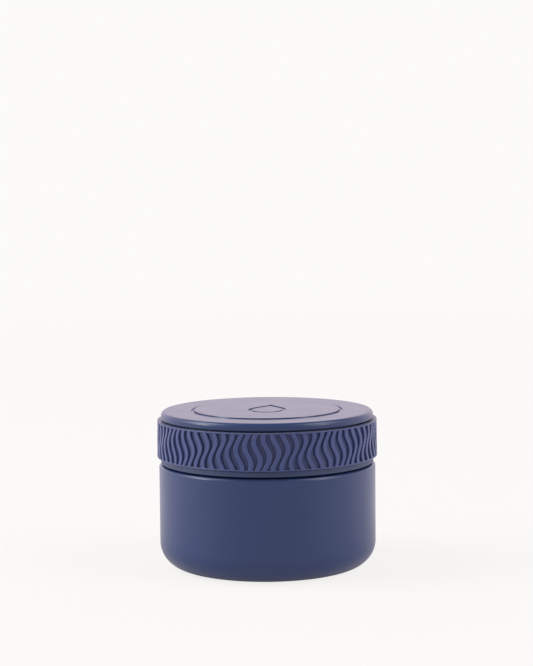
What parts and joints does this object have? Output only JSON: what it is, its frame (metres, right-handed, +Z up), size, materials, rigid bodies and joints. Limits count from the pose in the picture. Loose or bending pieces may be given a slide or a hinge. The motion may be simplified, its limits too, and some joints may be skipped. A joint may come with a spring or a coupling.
{
  "type": "candle tin",
  "caption": "Round coated steel tin with double walls, a threaded neck and a screw lid that has a wavy ribbed grip band and a grooved top plate.",
  "frame": {"origin": "centre of the rim the tin stands on", "axes": "+Z up along the tin's axis, front of the tin towards -Y"},
  "size_m": [0.1022, 0.1022, 0.0731],
  "materials": {
    "body_coating": "satin navy powder coating on steel",
    "seal_bead": "dark fused sealing bead",
    "bare_steel": "fine turned stainless steel",
    "getter_metal": "dull sintered metal",
    "lid_moulding": "satin moulded polypropylene",
    "grip_silicone": "matt moulded silicone",
    "foam": "closed-cell insulating foam",
    "gasket_silicone": "translucent white silicone"
  },
  "bodies": {
    "tin": {"outer_shell": "body_coating", "outer_base": "body_coating", "vacuum_plug": "seal_bead", "neck_ring": "bare_steel", "inner_liner": "bare_steel", "getter_pill": "getter_metal"},
    "seal": {"lid_gasket": "gasket_silicone"},
    "lid": {"lid_core": "lid_moulding", "lid_plate": "body_coating", "grip_band": "grip_silicone", "lid_foam": "foam", "lid_cover": "bare_steel"}
  },
  "joints": [
    {"name": "lid_rise", "type": "slide", "parent": "tin", "child": "seal", "axis": [0, 0, 1], "range_m": [0, 0.024]},
    {"name": "lid_turn", "type": "hinge", "parent": "seal", "child": "lid", "pos_m": [0, 0, 0], "axis": [0, 0, 1], "range_deg": [0, 720]}
  ],
  "couplings": [
    {"joint": "lid_rise", "follows": "lid_turn", "m_per_rad": 0.0019099}
  ]
}
